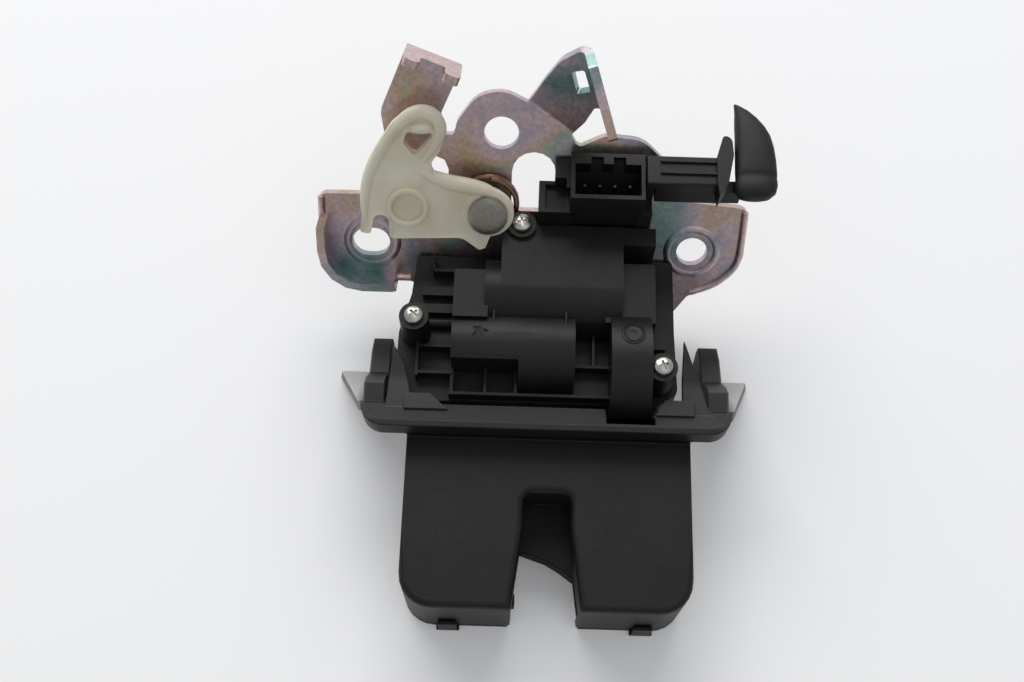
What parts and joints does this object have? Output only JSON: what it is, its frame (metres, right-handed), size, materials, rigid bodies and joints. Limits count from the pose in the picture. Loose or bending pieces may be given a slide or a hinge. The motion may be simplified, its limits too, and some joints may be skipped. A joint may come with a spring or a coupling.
{
  "type": "vehicle tailgate lock",
  "caption": "Vehicle tailgate lock: bent steel mounting plate, slotted plastic mouth with rotary claw, motor actuator housing with plug socket, and nylon release lever.",
  "frame": {"origin": "on the flat back of the mouth cover, below the middle of the lock, with the lock lying on its back", "axes": "+Z out of the lock's front, +Y from the mouth towards the mounting plate, +X to the right seen from the front"},
  "size_m": [0.129, 0.1439, 0.0868],
  "materials": {
    "zinc": "yellow zinc plated",
    "steel": "bright",
    "black": "fine grain",
    "satin": "satin",
    "nylon": "natural",
    "rubber": "soft",
    "copper": "drawn",
    "brass": "tinned"
  },
  "bodies": {
    "frame": {"mounting_plate": "zinc", "mouth_cover": "black", "mouth_back": "black", "bridge_plate": "steel", "claw_pin": "steel", "pawl_pin": "steel", "claw_spring": "steel", "pawl_spring": "steel", "motor": "steel", "choke": "copper", "housing_tray": "black", "housing_cover": "black", "cover_screw_top": "steel", "cover_screw_left": "steel", "cover_screw_right": "steel", "plug_socket": "black", "terminal_1": "brass", "terminal_2": "brass", "terminal_3": "brass", "terminal_4": "brass", "guide_arm": "black", "arm_cap": "rubber", "lever_rivet": "steel", "lever_spring": "copper", "micro_switch": "satin"},
    "claw": {"claw": "steel"},
    "pawl": {"pawl": "steel"},
    "gear": {"drive_gear": "nylon"},
    "pinion": {"motor_pinion": "brass"},
    "lever": {"release_lever": "nylon"}
  },
  "joints": [
    {"name": "claw_turn", "type": "hinge", "parent": "frame", "child": "claw", "pos_m": [-0.016, -0.022, 0.008], "axis": [0, 0, 1], "range_deg": [0, 55]},
    {"name": "pawl_turn", "type": "hinge", "parent": "frame", "child": "pawl", "pos_m": [0.02, -0.034, 0.008], "axis": [0, 0, 1], "range_deg": [0, 14]},
    {"name": "gear_turn", "type": "hinge", "parent": "frame", "child": "gear", "pos_m": [0, 0.017, 0.022], "axis": [1, 0, 0], "range_deg": [-90, 90]},
    {"name": "pinion_turn", "type": "hinge", "parent": "frame", "child": "pinion", "pos_m": [0, 0.036, 0.0265], "axis": [1, 0, 0], "range_deg": [-210, 210]},
    {"name": "lever_turn", "type": "hinge", "parent": "frame", "child": "lever", "pos_m": [-0.0178, 0.06285, 0.03853], "axis": [0, -0.809, 0.5878], "range_deg": [0, 12], "stiffness_Nm_per_rad": 0.05}
  ],
  "couplings": [
    {"joint": "pinion_turn", "follows": "gear_turn", "ratio": -2.3077}
  ]
}
